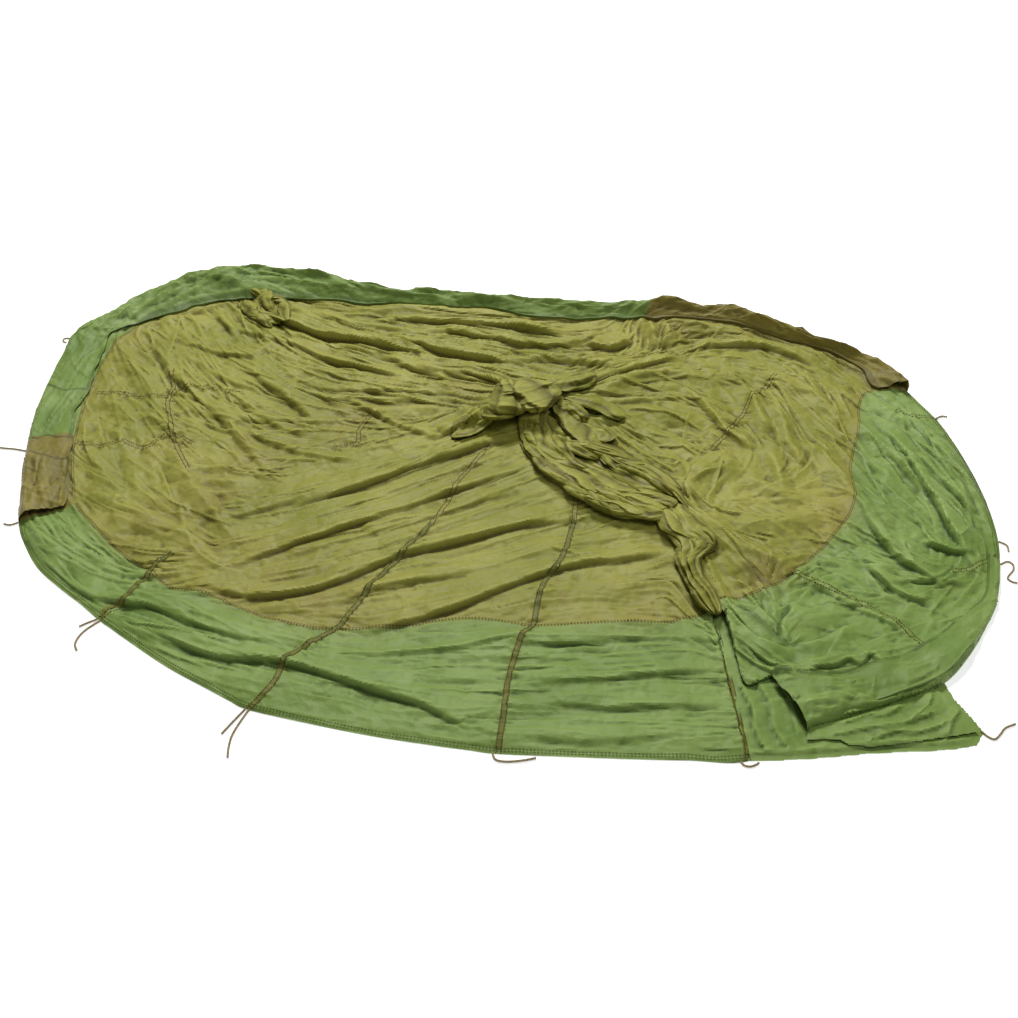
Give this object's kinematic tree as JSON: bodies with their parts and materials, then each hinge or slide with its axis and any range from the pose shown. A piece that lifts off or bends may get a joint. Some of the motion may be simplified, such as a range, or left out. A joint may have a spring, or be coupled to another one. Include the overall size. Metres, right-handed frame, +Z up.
{
  "type": "parachute canopy",
  "caption": "Round fabric parachute canopy spread out and rumpled on a floor, its apex gathered into a knot, parts of its skirt turned back, short cut line ends round the hem.",
  "frame": {"origin": "middle of the laid-out cloth on the floor it lies on, line ends left out", "axes": "+Z up from the floor, +X to the right and +Y to the far side as the canopy is seen from its front hem"},
  "size_m": [2.1288, 1.605, 0.087],
  "materials": {
    "olive_cloth": "thin woven nylon, slight sheen, crinkled",
    "green_cloth": "thin woven nylon, slight sheen, crinkled",
    "brown_cloth": "thin woven nylon, slight sheen, crinkled",
    "seam_tape": "stitched woven tape",
    "line_cord": "braided cord, cut ends"
  },
  "bodies": {
    "root": {"crown_cloth": "olive_cloth", "skirt_01": "green_cloth", "skirt_02": "green_cloth", "skirt_03": "green_cloth", "skirt_04": "green_cloth", "skirt_05": "green_cloth", "skirt_06": "green_cloth", "skirt_07": "green_cloth", "skirt_08": "brown_cloth", "skirt_09": "green_cloth", "skirt_10": "green_cloth", "skirt_11": "green_cloth", "skirt_12": "green_cloth", "skirt_13": "green_cloth", "skirt_14": "green_cloth", "skirt_15": "brown_cloth", "seam_tape_1": "seam_tape", "seam_tape_2": "seam_tape", "seam_tape_3": "seam_tape", "seam_tape_4": "seam_tape", "line_end_01": "line_cord", "line_end_02": "line_cord", "line_end_03": "line_cord", "line_end_04": "line_cord", "line_end_05": "line_cord", "line_end_06": "line_cord", "line_end_07": "line_cord", "line_end_08": "line_cord", "line_end_09": "line_cord", "line_end_10": "line_cord", "line_end_11": "line_cord", "line_end_12": "line_cord", "line_end_13": "line_cord", "line_end_14": "line_cord"}
  },
  "joints": []
}
